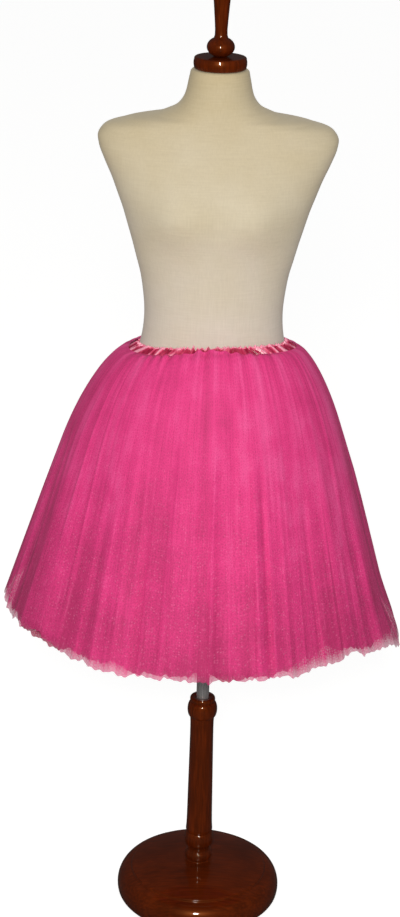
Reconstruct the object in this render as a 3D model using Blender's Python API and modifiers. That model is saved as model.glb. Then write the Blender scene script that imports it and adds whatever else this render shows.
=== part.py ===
"""Ballet tutu of gathered tulle, worn by a limbless dress form on a turned wooden stand.

Units are metres, +Z is up and the front faces -Y. The origin is the centre of the
stand's underside. Each sub-part is one named object: the satin waistband, three tulle
layers, the dress form, its neck cap and finial, the pole, the column and the base.
"""
from collections import namedtuple
from math import cos, pi, radians, sin

import bpy
import numpy as np

# ---- driving dimensions -----------------------------------------------------------
SEAM_GAP = 0.0003            # between neighbouring pieces

BASE_RADIUS = 0.153          # widest, at the rounded rim
BASE_FOOT_RADIUS = 0.146
RING_RADIUS = 0.128          # outer edge of the stepped ring on the base
RING_HEIGHT = 0.0515
DOME_EDGE_RADIUS = 0.1245
DOME_EDGE_HEIGHT = 0.0560
DOME_TOP_RADIUS = 0.0275
DOME_TOP = 0.0700
SOCKET_RADIUS = 0.0150       # for the column's tenon
SOCKET_FLOOR = 0.0200

COLUMN_TOP = 0.4140
COLUMN_FOOT_RADIUS = 0.0255
SHAFT_BOTTOM = 0.1340
SHAFT_BOTTOM_RADIUS = 0.0240
SHAFT_TOP = 0.3725
SHAFT_TOP_RADIUS = 0.0212
LIP_RADIUS = 0.0233
LIP_BOTTOM = 0.4050
BORE_FLOOR = 0.0750
POLE_CLEARANCE = 0.0004

POLE_RADIUS = 0.0117
POLE_WALL = 0.0020
POLE_BOTTOM = 0.2700
POLE_TOP = 0.9200
SWIVEL_CLEARANCE = 0.0006    # between the pole and the form's socket

NECK_TOP = 1.5720
FORM_BOTTOM = 0.8200
CAP_RADIUS = 0.0434
CAP_BULGE = 0.0010
CAP_HEIGHT = 0.0205
BALL_RADIUS = 0.0232
BALL_HALF_HEIGHT = 0.0172
BALL_SEAT_RADIUS = 0.0105    # where the finial meets the cap and where its stem starts
STEM_TOP = 1.7000
STEM_TOP_RADIUS = 0.0155
FINIAL_TOP = 1.7200

BAND_WIDTH = 0.0240          # of the satin casing, measured down its slope
BAND_THICKNESS = 0.0036
BAND_SLOPE = radians(40)     # below horizontal
BAND_STAND_OFF = 0.0036      # from the form to the band's outer top edge
BAND_GATHERS = 24
BAND_GATHER_DEPTH = 0.0006

TULLE_THICKNESS = 0.0010
SHOULDER_DOWN = 0.1700
PLEAT_DEPTH = 0.0055         # half of a full pleat, from crest to trough
PLEAT_GROWTH = 0.2000        # drop over which the pleats open fully
LAYER_PITCH_TOP = 0.0013     # between layers in the seam
LAYER_PITCH_HEM = 0.0140     # between layers at the hem

# ---- short tables -----------------------------------------------------------------
Section = namedtuple("Section", "height half_width front back flatness")
FORM_SECTIONS = [
    Section(1.5720, 0.0455, 0.0440, 0.0440, 1.00),    # neck, inside the rounded rim
    Section(1.5706, 0.0480, 0.0462, 0.0462, 1.00),
    Section(1.5670, 0.0492, 0.0474, 0.0474, 1.00),    # neck rim
    Section(1.5535, 0.0520, 0.0500, 0.0512, 1.00),
    Section(1.5405, 0.0545, 0.0520, 0.0548, 1.00),
    Section(1.5275, 0.0587, 0.0540, 0.0590, 1.00),
    Section(1.5140, 0.0679, 0.0562, 0.0640, 1.00),    # neck root
    Section(1.5005, 0.0937, 0.0585, 0.0695, 0.98),
    Section(1.4870, 0.1600, 0.0610, 0.0750, 0.95),    # shoulder slope
    Section(1.4740, 0.1930, 0.0645, 0.0800, 0.92),
    Section(1.4605, 0.2008, 0.0690, 0.0845, 0.88),    # shoulder ends
    Section(1.4465, 0.1994, 0.0745, 0.0890, 0.85),
    Section(1.4200, 0.1899, 0.0850, 0.0950, 0.84),
    Section(1.3925, 0.1778, 0.0945, 0.0985, 0.85),
    Section(1.3645, 0.1674, 0.1010, 0.0990, 0.86),
    Section(1.3375, 0.1578, 0.1035, 0.0970, 0.88),    # bust
    Section(1.3100, 0.1498, 0.1010, 0.0940, 0.90),
    Section(1.2815, 0.1417, 0.0960, 0.0905, 0.92),
    Section(1.2535, 0.1344, 0.0920, 0.0872, 0.94),
    Section(1.2255, 0.1271, 0.0890, 0.0845, 0.96),
    Section(1.1970, 0.1224, 0.0870, 0.0830, 0.97),
    Section(1.1540, 0.1190, 0.0862, 0.0830, 0.98),    # waist
    Section(1.1250, 0.1208, 0.0880, 0.0865, 0.97),
    Section(1.0950, 0.1265, 0.0925, 0.0935, 0.96),
    Section(1.0600, 0.1370, 0.0985, 0.1040, 0.95),
    Section(1.0200, 0.1490, 0.1040, 0.1155, 0.94),
    Section(0.9700, 0.1610, 0.1085, 0.1260, 0.93),
    Section(0.9100, 0.1700, 0.1095, 0.1300, 0.92),    # hip
    Section(0.8600, 0.1712, 0.1070, 0.1280, 0.92),
    Section(0.8300, 0.1695, 0.1045, 0.1250, 0.92),
    Section(0.8225, 0.1675, 0.1025, 0.1230, 0.92),
    Section(0.8200, 0.1635, 0.0985, 0.1190, 0.92),    # underside
]
Fullness = namedtuple("Fullness", "side height rise spread_x spread_z")
CHEST = Fullness(side=0.070, height=1.338, rise=0.016, spread_x=0.050, spread_z=0.052)

# below the band the tulle springs out by its shoulder, in a quarter ellipse, then slopes
Direction = namedtuple("Direction", "name hem_height slope shoulder")
SKIRT_DIRECTIONS = [         # every 45 degrees, counter-clockwise from +X seen from above
    Direction("right", 0.568, 0.285, 0.0405),
    Direction("back_right", 0.584, 0.272, 0.046),
    Direction("back", 0.596, 0.275, 0.053),
    Direction("back_left", 0.602, 0.305, 0.055),
    Direction("left", 0.603, 0.342, 0.053),
    Direction("front_left", 0.612, 0.310, 0.055),
    Direction("front", 0.600, 0.275, 0.055),
    Direction("front_right", 0.602, 0.272, 0.047),
]
Corner = namedtuple("Corner", "angle width out longer start end")
HEM_CORNER = Corner(angle=radians(356), width=radians(12), out=0.014, longer=0.020,
                    start=0.43, end=0.53)    # where the hem hangs lowest; start and end are drops
Layer = namedtuple("Layer", "name order pleats shorter phase")
TULLE_LAYERS = [
    Layer("tulle_outer", 0, 20, 0.000, 0.0),
    Layer("tulle_middle", 1, 16, 0.012, 0.9),
    Layer("tulle_inner", 2, 16, 0.026, 2.6),
]
TULLE_COLUMNS = 80           # the same in each layer, so that their facets nest in the seam
TULLE_RINGS = [0.0, 0.10, 0.25, 0.45, 0.70, 1.0]    # the square of each is a share of the drop
WAIST_HALF = 0.1258          # of the form where the band sits
WAIST_FRONT = 0.0922
WAIST_BACK = 0.0940
BAND_TOP_MEAN = 1.1093       # the waistband's top edge rises and dips around the form
BAND_TOP_RIGHT = 0.0062
BAND_TOP_FRONT = 0.0082
BAND_TOP_SIDES = -0.0043
BAND_DIP = 0.0055            # further down, behind the right hip
BAND_DIP_ANGLE = radians(22)
BAND_DIP_WIDTH = radians(34)

Finish = namedtuple("Finish", "name colour roughness metallic")
SATIN = Finish("pink_satin", (0.58, 0.06, 0.16), 0.35, 0.0)
TULLE = Finish("pink_tulle", (0.73, 0.06, 0.24), 0.80, 0.0)
LINEN = Finish("ivory_linen", (0.62, 0.52, 0.37), 0.85, 0.0)
LACQUER = Finish("lacquered_wood", (0.09, 0.012, 0.003), 0.15, 0.0)
STEEL = Finish("chromed_steel", (0.62, 0.62, 0.62), 0.12, 1.0)


# ---- helpers ----------------------------------------------------------------------
def clear_scene():
    for item in list(bpy.data.objects):
        bpy.data.objects.remove(item, do_unlink=True)


def new_collection(name):
    group = bpy.data.collections.new(name)
    bpy.context.scene.collection.children.link(group)
    return group


def principled(finish):
    """The finish as a Principled material, made once and shared."""
    if finish.name in bpy.data.materials:
        return bpy.data.materials[finish.name]
    material = bpy.data.materials.new(finish.name)
    material.use_nodes = True
    shader = material.node_tree.nodes["Principled BSDF"]
    shader.inputs["Base Color"].default_value = (*finish.colour, 1.0)
    shader.inputs["Roughness"].default_value = finish.roughness
    shader.inputs["Metallic"].default_value = finish.metallic
    return material


def add_object(name, vertices, edges, faces, finish, group):
    mesh = bpy.data.meshes.new(name)
    mesh.from_pydata([tuple(map(float, v)) for v in vertices], edges, faces)
    if faces:
        mesh.shade_smooth()
    mesh.materials.append(principled(finish))
    item = bpy.data.objects.new(name, mesh)
    group.objects.link(item)
    return item


def arc(centre_r, centre_z, radius_r, radius_z, start, end, steps):
    """Points (radius, height) along an elliptical arc, angles in degrees."""
    angles = [radians(start + (end - start) * i / steps) for i in range(steps + 1)]
    return [(centre_r + radius_r * cos(a), centre_z + radius_z * sin(a)) for a in angles]


def turned(name, profile, steps, finish, group):
    """Revolves a (radius, height) profile about Z with a Screw modifier."""
    points = [(radius, 0.0, height) for radius, height in profile]
    edges = [(i, i + 1) for i in range(len(points) - 1)]
    item = add_object(name, points, edges, [], finish, group)
    screw = item.modifiers.new("Turn", "SCREW")
    screw.axis = "Z"
    screw.angle = 2 * pi
    screw.steps = steps
    screw.render_steps = steps
    screw.use_merge_vertices = True
    screw.merge_threshold = 0.00001
    screw.use_smooth_shade = True
    return item


def ring_faces(rows, columns):
    """Quads of a grid that closes around its columns, facing outwards when rows run down."""
    faces = []
    for row in range(rows - 1):
        for column in range(columns):
            after = (column + 1) % columns
            upper, lower = row * columns, (row + 1) * columns
            faces.append((upper + column, lower + column, lower + after, upper + after))
    return faces


# ---- stand ------------------------------------------------------------------------
def build_base(group):
    rim_centre = 0.0180
    profile = [(0.0, SOCKET_FLOOR), (SOCKET_RADIUS, SOCKET_FLOOR), (SOCKET_RADIUS, DOME_TOP)]
    profile += [(DOME_TOP_RADIUS, DOME_TOP)]
    dome_steps = 4
    for i in range(1, dome_steps + 1):
        t = i / dome_steps
        radius = DOME_TOP_RADIUS + (DOME_EDGE_RADIUS - DOME_TOP_RADIUS) * t
        profile.append((radius, DOME_TOP - (DOME_TOP - DOME_EDGE_HEIGHT) * t ** 2.2))
    profile += [(RING_RADIUS - 0.0015, DOME_EDGE_HEIGHT - 0.0022), (RING_RADIUS, RING_HEIGHT)]
    shoulder = BASE_RADIUS - RING_RADIUS
    profile += arc(RING_RADIUS, rim_centre, shoulder, RING_HEIGHT - rim_centre - 0.0015, 84, 0, 5)
    profile += [(BASE_RADIUS - 0.0015, 0.0080), (BASE_FOOT_RADIUS, 0.0), (0.0, 0.0)]
    return turned("base", profile, 36, LACQUER, group)


def build_column(group):
    """Spindle with a tenon in the base, two lower beads, a tapered shaft and a top bead."""
    bore = POLE_RADIUS + POLE_CLEARANCE
    foot = DOME_TOP + SEAM_GAP
    tenon = SOCKET_RADIUS - SEAM_GAP
    profile = [(0.0, BORE_FLOOR), (bore, BORE_FLOOR), (bore, COLUMN_TOP)]
    profile += [(LIP_RADIUS - 0.0025, COLUMN_TOP)]
    profile += [(LIP_RADIUS, COLUMN_TOP - 0.0030), (LIP_RADIUS - 0.0010, LIP_BOTTOM)]
    middle = (LIP_BOTTOM + SHAFT_TOP) / 2
    half = (LIP_BOTTOM - SHAFT_TOP) / 2
    profile += arc(SHAFT_TOP_RADIUS, middle, 0.0060, half - 0.0005, 75, -75, 5)
    profile += [(SHAFT_TOP_RADIUS, SHAFT_TOP), (SHAFT_BOTTOM_RADIUS, SHAFT_BOTTOM)]
    profile += arc(SHAFT_BOTTOM_RADIUS - 0.0014, 0.1155, 0.0042, 0.0140, 70, -70, 4)
    profile += [(0.0205, 0.0950)]
    profile += arc(0.0215, 0.0800, 0.0040, 0.0090, 60, -60, 4)
    profile += [(COLUMN_FOOT_RADIUS, foot), (tenon, foot), (tenon, SOCKET_FLOOR + SEAM_GAP)]
    profile += [(0.0, SOCKET_FLOOR + SEAM_GAP)]
    return turned("column", profile, 24, LACQUER, group)


def build_pole(group):
    inner = POLE_RADIUS - POLE_WALL
    profile = [(inner, POLE_BOTTOM), (inner, POLE_TOP), (POLE_RADIUS, POLE_TOP)]
    profile += [(POLE_RADIUS, POLE_BOTTOM), (inner, POLE_BOTTOM)]
    return turned("pole", profile, 24, STEEL, group)


# ---- dress form -------------------------------------------------------------------
def form_ring(section, angles):
    """One horizontal section: a flattened oval, fuller on each side of the chest."""
    x = section.half_width * np.cos(angles)
    bulge = np.abs(np.sin(angles)) ** section.flatness
    y = np.where(np.sin(angles) < 0, -section.front * bulge, section.back * bulge)
    across = (np.abs(x) - CHEST.side) / CHEST.spread_x
    along = (section.height - CHEST.height) / CHEST.spread_z
    y = np.where(np.sin(angles) < 0, y - CHEST.rise * np.exp(-across ** 2 - along ** 2) * bulge, y)
    return np.stack([x, y, np.full_like(x, section.height)], axis=1)


def build_dress_form(group, cutters):
    columns = 40
    angles = np.arange(columns) * 2 * pi / columns
    points = np.concatenate([form_ring(section, angles) for section in FORM_SECTIONS])
    faces = ring_faces(len(FORM_SECTIONS), columns)
    faces.append(tuple(range(columns)))
    last = (len(FORM_SECTIONS) - 1) * columns
    faces.append(tuple(range(last + columns - 1, last - 1, -1)))
    form = add_object("dress_form", points, [], faces, LINEN, group)
    cut_pole_socket(form, cutters)
    return form


def cut_pole_socket(form, cutters):
    """A blind hole up the form's underside, in which the pole turns."""
    below = 0.02
    depth = POLE_TOP + SEAM_GAP - FORM_BOTTOM
    bpy.ops.mesh.primitive_cylinder_add(
        vertices=24, radius=POLE_RADIUS + SWIVEL_CLEARANCE, depth=depth + below,
        location=(0.0, 0.0, FORM_BOTTOM + (depth - below) / 2))
    cutter = bpy.context.active_object
    cutter.name = "pole_socket_cutter"
    for owner in list(cutter.users_collection):
        owner.objects.unlink(cutter)
    cutters.objects.link(cutter)
    cutter.hide_render = True
    cutter.display_type = "WIRE"
    cut = form.modifiers.new("Pole socket", "BOOLEAN")
    cut.operation = "DIFFERENCE"
    cut.solver = "EXACT"
    cut.object = cutter


def build_neck_cap(group):
    bottom = NECK_TOP + SEAM_GAP
    top = bottom + CAP_HEIGHT
    edge = 0.0030
    middle = (top + bottom) / 2
    half = CAP_HEIGHT / 2 - edge
    profile = [(0.0, top)]
    profile += arc(CAP_RADIUS - edge, top - edge, edge, edge, 90, 20, 3)
    profile += [(CAP_RADIUS + CAP_BULGE, middle + half * 0.3), (CAP_RADIUS + CAP_BULGE, middle - half * 0.3)]
    profile += arc(CAP_RADIUS - edge, bottom + edge, edge, edge, -20, -90, 3)
    profile += [(0.0, bottom)]
    return turned("neck_cap", profile, 32, LACQUER, group)


def build_finial(group):
    """A squashed ball and a stem that widens upwards to a rounded tip."""
    seat = NECK_TOP + SEAM_GAP + CAP_HEIGHT + SEAM_GAP
    start = np.degrees(np.arccos(BALL_SEAT_RADIUS / BALL_RADIUS))
    ball_centre = seat + BALL_HALF_HEIGHT * sin(radians(start))
    profile = [(0.0, FINIAL_TOP)]
    tip = FINIAL_TOP - STEM_TOP
    profile += arc(0.0, STEM_TOP, STEM_TOP_RADIUS, tip, 70, 0, 4)
    profile += [(0.0138, 1.6840), (0.0113, 1.6500)]
    profile += arc(0.0, ball_centre, BALL_RADIUS, BALL_HALF_HEIGHT, start, -start, 8)
    profile += [(0.0, seat)]
    return turned("finial", profile, 24, LACQUER, group)


# ---- tutu -------------------------------------------------------------------------
def around(values, angles):
    """Reads a table with one value every 45 degrees, blended smoothly between its rows."""
    values = np.array(values)
    place = (angles % (2 * pi)) / (2 * pi) * len(values)
    before = np.floor(place).astype(int) % len(values)
    after = (before + 1) % len(values)
    share = (1 - np.cos((place - np.floor(place)) * pi)) / 2
    return values[before] * (1 - share) + values[after] * share


def smooth(value):
    value = np.clip(value, 0, 1)
    return value * value * (3 - 2 * value)


def bump(angles, centre, width):
    """1 at the centre angle, falling off on both sides as exp(-(distance / width)^2)."""
    away = (angles - centre + pi) % (2 * pi) - pi
    return np.exp(-(away / width) ** 2)


def band_top_height(angles):
    height = BAND_TOP_MEAN + BAND_TOP_RIGHT * np.cos(angles)
    height = height - BAND_TOP_FRONT * np.sin(angles) + BAND_TOP_SIDES * np.cos(2 * angles)
    return height - BAND_DIP * bump(angles, BAND_DIP_ANGLE, BAND_DIP_WIDTH)


def waist_oval(angles):
    """The form's section under the band: points (x, y) and their outward directions."""
    deep = np.where(np.sin(angles) < 0, WAIST_FRONT, WAIST_BACK)
    points = np.stack([WAIST_HALF * np.cos(angles), deep * np.sin(angles)], axis=-1)
    outward = np.stack([np.cos(angles) / WAIST_HALF, np.sin(angles) / deep], axis=-1)
    outward /= np.linalg.norm(outward, axis=-1, keepdims=True)
    return points, outward


def on_waist(angles, offset, height):
    """Lays (offset, height) out from the waist oval, in the direction of each angle."""
    points, outward = waist_oval(angles)
    plan = points + outward * offset[..., None]
    return np.concatenate([plan, height[..., None]], axis=-1)


def band_profile(angles, share):
    """Offset and height on the band's outer face, share 0 at its top edge and 1 below."""
    offset = BAND_STAND_OFF + BAND_WIDTH * cos(BAND_SLOPE) * share
    height = band_top_height(angles) - BAND_WIDTH * sin(BAND_SLOPE) * share
    return offset, height


def build_waistband(group):
    columns, rows = 72, 3
    angles, share = np.meshgrid(np.arange(columns) * 2 * pi / columns, np.linspace(0, 1, rows))
    offset, height = band_profile(angles, share)
    puff = BAND_GATHER_DEPTH * np.cos(BAND_GATHERS * angles) * np.sin(pi * share)
    points = on_waist(angles, offset + puff, height).reshape(-1, 3)
    band = add_object("waistband", points, [], ring_faces(rows, columns), SATIN, group)
    return thicken(band, BAND_THICKNESS)


def thicken(item, thickness):
    """Gives an open surface its wall, inwards from the face that shows."""
    wall = item.modifiers.new("Wall", "SOLIDIFY")
    wall.thickness = thickness
    wall.offset = -1.0
    wall.use_even_offset = False
    return item


def skirt_profile(angles, drop):
    """Offset and height of the outermost tulle at a drop below the band's lower edge."""
    start_offset, start_height = band_profile(angles, 1.0)
    slope = around([direction.slope for direction in SKIRT_DIRECTIONS], angles)
    shoulder = around([direction.shoulder for direction in SKIRT_DIRECTIONS], angles)
    rest = 1 - np.clip(drop / SHOULDER_DOWN, 0, 1)
    offset = start_offset + shoulder * np.sqrt(1 - rest ** 2) + slope * drop
    flare = smooth((drop - HEM_CORNER.start) / (HEM_CORNER.end - HEM_CORNER.start))
    offset = offset + HEM_CORNER.out * flare * bump(angles, HEM_CORNER.angle, HEM_CORNER.width)
    return offset, start_height - drop


def full_drop(angles, shorter):
    hem = around([direction.hem_height for direction in SKIRT_DIRECTIONS], angles) + shorter
    hem = hem - HEM_CORNER.longer * bump(angles, HEM_CORNER.angle, HEM_CORNER.width)
    return band_profile(angles, 1.0)[1] - hem


def build_tulle(layer, group):
    """A pleated cone of tulle, set in from the outermost surface by its order."""
    angles, share = np.meshgrid(np.arange(TULLE_COLUMNS) * 2 * pi / TULLE_COLUMNS, TULLE_RINGS)
    drop = SEAM_GAP + (full_drop(angles, layer.shorter) - SEAM_GAP) * share ** 2
    step = 0.0005
    offset, height = skirt_profile(angles, drop)
    ahead = skirt_profile(angles, drop + step)
    run, fall = ahead[0] - offset, ahead[1] - height
    length = np.hypot(run, fall)
    out_r, out_z = -fall / length, run / length
    pitch = LAYER_PITCH_TOP + (LAYER_PITCH_HEM - LAYER_PITCH_TOP) * smooth(drop / PLEAT_GROWTH)
    pleat = PLEAT_DEPTH * smooth(drop / PLEAT_GROWTH) * np.cos(layer.pleats * angles + layer.phase)
    move = pleat - layer.order * pitch
    points = on_waist(angles, offset + move * out_r, height + move * out_z).reshape(-1, 3)
    faces = ring_faces(len(TULLE_RINGS), TULLE_COLUMNS)
    cloth = add_object(layer.name, points, [], faces, TULLE, group)
    return thicken(cloth, TULLE_THICKNESS)


def main():
    clear_scene()
    parts = new_collection("tutu_on_dress_form")
    cutters = new_collection("cutters")
    build_base(parts)
    build_column(parts)
    build_pole(parts)
    build_dress_form(parts, cutters)
    build_neck_cap(parts)
    build_finial(parts)
    build_waistband(parts)
    for layer in TULLE_LAYERS:
        build_tulle(layer, parts)


main()
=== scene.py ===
"""Looks of a tulle tutu on a dress form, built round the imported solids.

Everything is in metres, +Z up, front towards -Y. The cloth is made of surfaces worked out
with numpy from the same few sizes as the solids; the wood and steel are turned profiles.
"""
import math

import bmesh
import bpy
import numpy as np
from mathutils import Euler, Matrix, Vector


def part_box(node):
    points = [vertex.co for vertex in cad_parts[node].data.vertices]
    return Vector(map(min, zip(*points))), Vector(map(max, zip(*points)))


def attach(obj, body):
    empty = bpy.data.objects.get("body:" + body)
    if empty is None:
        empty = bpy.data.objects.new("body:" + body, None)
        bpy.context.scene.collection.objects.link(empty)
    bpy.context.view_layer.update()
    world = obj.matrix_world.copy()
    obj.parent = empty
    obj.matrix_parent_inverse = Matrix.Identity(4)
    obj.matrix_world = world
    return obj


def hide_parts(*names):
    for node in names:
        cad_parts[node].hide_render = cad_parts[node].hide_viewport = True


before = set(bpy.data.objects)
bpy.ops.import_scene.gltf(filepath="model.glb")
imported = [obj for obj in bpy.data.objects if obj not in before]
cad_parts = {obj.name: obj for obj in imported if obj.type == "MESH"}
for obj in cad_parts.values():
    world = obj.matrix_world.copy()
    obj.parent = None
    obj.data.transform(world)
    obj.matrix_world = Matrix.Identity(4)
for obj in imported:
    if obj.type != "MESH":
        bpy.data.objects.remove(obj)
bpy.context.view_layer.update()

TAU = 2 * math.pi
FRONT = 270                  # degrees; angles run counter-clockwise from +X, seen from above


# ---- sizes read from the frame ------------------------------------------------------
def high(node, axis=2):
    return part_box(node)[1][axis]


def low(node, axis=2):
    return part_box(node)[0][axis]


BASE_RADIUS = high("base", 0)
DOME_TOP = high("base")
COLUMN_TOP = high("column")
POLE_RADIUS = high("pole", 0)
POLE_BOTTOM, POLE_TOP = low("pole"), high("pole")
SWIVEL_CLEARANCE = 0.0006
CAP_BOTTOM, CAP_TOP = low("neck_cap"), high("neck_cap")
CAP_RADIUS = high("neck_cap", 0)
FINIAL_BOTTOM, FINIAL_TOP = low("finial"), high("finial")
BALL_RADIUS = high("finial", 0)

# ---- sizes of the dress form: one row for each section ------------------------------
FORM_SECTIONS = [              # height, half width, depth in front, depth behind, flatness
    (1.5720, 0.0440, 0.0425, 0.0425, 1.00),    # neck, inside the rounded rim
    (1.5712, 0.0470, 0.0452, 0.0452, 1.00),
    (1.5692, 0.0486, 0.0468, 0.0468, 1.00),
    (1.5650, 0.0494, 0.0476, 0.0476, 1.00),    # neck rim
    (1.5535, 0.0518, 0.0498, 0.0510, 1.00),
    (1.5405, 0.0543, 0.0520, 0.0548, 1.00),
    (1.5275, 0.0585, 0.0540, 0.0590, 1.00),
    (1.5140, 0.0679, 0.0562, 0.0640, 1.00),    # neck root
    (1.5005, 0.0937, 0.0585, 0.0695, 0.98),
    (1.4870, 0.1600, 0.0610, 0.0750, 0.95),    # shoulder slope
    (1.4740, 0.1930, 0.0645, 0.0800, 0.92),
    (1.4605, 0.2008, 0.0690, 0.0845, 0.88),    # shoulder ends
    (1.4465, 0.1994, 0.0745, 0.0890, 0.85),
    (1.4200, 0.1899, 0.0850, 0.0950, 0.84),
    (1.3925, 0.1778, 0.0945, 0.0985, 0.85),
    (1.3645, 0.1674, 0.1010, 0.0990, 0.86),
    (1.3375, 0.1578, 0.1035, 0.0970, 0.88),    # chest
    (1.3100, 0.1498, 0.1010, 0.0940, 0.90),
    (1.2815, 0.1417, 0.0960, 0.0905, 0.92),
    (1.2535, 0.1344, 0.0920, 0.0872, 0.94),
    (1.2255, 0.1271, 0.0890, 0.0845, 0.96),
    (1.1970, 0.1224, 0.0870, 0.0830, 0.97),
    (1.1540, 0.1190, 0.0862, 0.0830, 0.98),    # waist
    (1.1250, 0.1208, 0.0880, 0.0865, 0.97),
    (1.0950, 0.1265, 0.0925, 0.0935, 0.96),
    (1.0600, 0.1370, 0.0985, 0.1040, 0.95),
    (1.0200, 0.1490, 0.1040, 0.1155, 0.94),
    (0.9700, 0.1610, 0.1085, 0.1260, 0.93),
    (0.9100, 0.1700, 0.1095, 0.1300, 0.92),    # hip
    (0.8600, 0.1712, 0.1070, 0.1280, 0.92),
    (0.8300, 0.1695, 0.1045, 0.1250, 0.92),
    (0.8225, 0.1675, 0.1025, 0.1230, 0.92),
    (0.8200, 0.1635, 0.0985, 0.1190, 0.92),    # underside
]
CHEST = dict(side=0.070, height=1.338, rise=0.016, spread_x=0.050, spread_z=0.052)

# ---- sizes of the tutu --------------------------------------------------------------
WAIST_HALF, WAIST_FRONT, WAIST_BACK = 0.1258, 0.0922, 0.0940
BAND_TOP = dict(mean=1.1093, right=0.0062, front=0.0082, sides=-0.0043, dip=0.0055,
                dip_at=22, dip_width=34)    # heights of its top edge; the dip in degrees
BAND_WIDTH = 0.0240
BAND_SLOPE = math.radians(40)
BAND_STAND_OFF = 0.0036
BAND_HALF_THICKNESS = 0.0017
BAND_CUT = (1.00, 0.024)     # length and finished width of the casing before it is gathered
TULLE_OVER_BAND = 0.0034     # height of the band's lower edge that the gathers cover
TULLE_OVER_FRONT = 0.0050    # how much more it covers at the centre front
SHOULDER_DOWN = 0.1700       # how far below the band the skirt stops springing out
# The corner that hangs lowest swings out between two drops; at and width are in degrees
HEM_CORNER = dict(at=356, width=12, out=0.014, start=0.43, end=0.53)
PITCH_AT_BAND, PITCH_AT_HEM, PITCH_GROWTH = 0.0013, 0.0140, 0.20    # between the layers
LAYER_SHORTER = (0.0, 0.002, 0.006)    # how much higher each layer's hem is, outer first
# Heights of the tulle's folds; placed scales MAIN_FOLDS, and pleats open over open_by
FOLDS = dict(pleat=0.0011, gather=0.00016, ripple=0.0001, wave=0.0036, lean=0.0016,
             placed=0.6, outer_lift=0.0020, open_by=0.28)
DIRECTION_COLUMNS = ("hem_height", "slope", "shoulder")
DIRECTIONS = [               # every 45 degrees, counter-clockwise from +X
    (0.568, 0.285, 0.0405),  # right
    (0.584, 0.272, 0.046),
    (0.596, 0.275, 0.053),   # back
    (0.602, 0.305, 0.055),
    (0.603, 0.342, 0.053),   # left
    (0.612, 0.310, 0.055),
    (0.600, 0.275, 0.055),   # front
    (0.602, 0.272, 0.047),
]


# ---- small tools --------------------------------------------------------------------
def smooth(value):
    """0 below 0, 1 above 1, and 3x^2 - 2x^3 between."""
    value = np.clip(value, 0, 1)
    return value * value * (3 - 2 * value)


def bump_at(angles, centre_degrees, width_degrees):
    """A soft bump of height 1, exp(-(d/w)^2), in the distance d round the circle."""
    away = (angles - math.radians(centre_degrees) + math.pi) % TAU - math.pi
    return np.exp(-(away / math.radians(width_degrees)) ** 2)


def around(column, angles):
    """Reads one column of DIRECTIONS, blended by a raised cosine between its rows."""
    values = np.array([row[DIRECTION_COLUMNS.index(column)] for row in DIRECTIONS])
    place = (angles % TAU) / TAU * len(values)
    before = np.floor(place).astype(int) % len(values)
    share = (1 - np.cos((place - np.floor(place)) * math.pi)) / 2
    return values[before] * (1 - share) + values[(before + 1) % len(values)] * share


def spline(rows, count):
    """Rows of a table joined by a Catmull-Rom curve and resampled evenly along it.

    Between two rows it is the cubic that meets both with the slope of their neighbours.
    """
    rows = np.array(rows, float)
    gap = np.linalg.norm(np.diff(rows[:, :2], axis=0), axis=1)
    knots = np.concatenate([[0], np.cumsum(gap)])
    slopes = np.gradient(rows, knots, axis=0)
    at = np.linspace(0, knots[-1], count)
    k = np.clip(np.searchsorted(knots, at, side="right") - 1, 0, len(rows) - 2)
    span = (knots[k + 1] - knots[k])[:, None]
    t = ((at - knots[k])[:, None]) / span
    start, end = rows[k], rows[k + 1]
    rise = (2 * t**3 - 3 * t**2 + 1) * start + (3 * t**2 - 2 * t**3) * end
    return rise + span * ((t**3 - 2 * t**2 + t) * slopes[k] + (t**3 - t**2) * slopes[k + 1])


def arc(centre, radii, start, end, steps):
    """Points (radius, height) on an ellipse's arc, from start to end degrees."""
    angle = np.radians(np.linspace(start, end, steps + 1))
    return np.stack([centre[0] + radii[0] * np.cos(angle), centre[1] + radii[1] * np.sin(angle)], 1)


def surface(name, points, uv=None, wrap_rows=False, fold_shade=None):
    """A grid of points (rows, columns, xyz), joined round its columns, as a smooth mesh.

    uv is a grid with one column more, so that the last column's far side can end at the
    cut's full width. With wrap_rows the last row joins the first. fold_shade, from 0 in the
    valleys to 1 on the crests, goes to the mesh as an attribute; the materials paint shade in
    the valleys and a highlight on the crests from it.
    """
    rows, columns = points.shape[:2]
    index = np.arange(rows * columns).reshape(rows, columns)
    below = np.roll(index, -1, axis=0)
    if not wrap_rows:
        index, below = index[:-1], below[:-1]
    quads = np.stack([index, below, np.roll(below, -1, axis=1), np.roll(index, -1, axis=1)], -1)
    mesh = bpy.data.meshes.new(name)
    mesh.vertices.add(rows * columns)
    mesh.vertices.foreach_set("co", points.astype(np.float32).ravel())
    count = quads.size // 4
    mesh.loops.add(count * 4)
    mesh.loops.foreach_set("vertex_index", quads.astype(np.int32).ravel())
    mesh.polygons.add(count)
    mesh.polygons.foreach_set("loop_start", np.arange(count, dtype=np.int32) * 4)
    mesh.polygons.foreach_set("use_smooth", np.ones(count, bool))
    if uv is not None:
        layer = mesh.uv_layers.new(name="Cloth")
        last = uv.shape[0] if wrap_rows else rows - 1
        lower = uv[1:] if not wrap_rows else np.concatenate([uv[1:], uv[-1:]])
        corner = [uv[:last, :-1], lower[:last, :-1], lower[:last, 1:], uv[:last, 1:]]
        layer.data.foreach_set("uv", np.stack(corner, 2).astype(np.float32).ravel())
    if fold_shade is not None:
        height = mesh.attributes.new("FoldShade", "FLOAT", "POINT")
        height.data.foreach_set("value", np.clip(fold_shade, 0, 1).astype(np.float32).ravel())
    mesh.update(calc_edges=True)
    return add_object(name, mesh)


def add_object(name, mesh):
    item = bpy.data.objects.new(name, mesh)
    bpy.context.scene.collection.objects.link(item)
    return item


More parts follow.
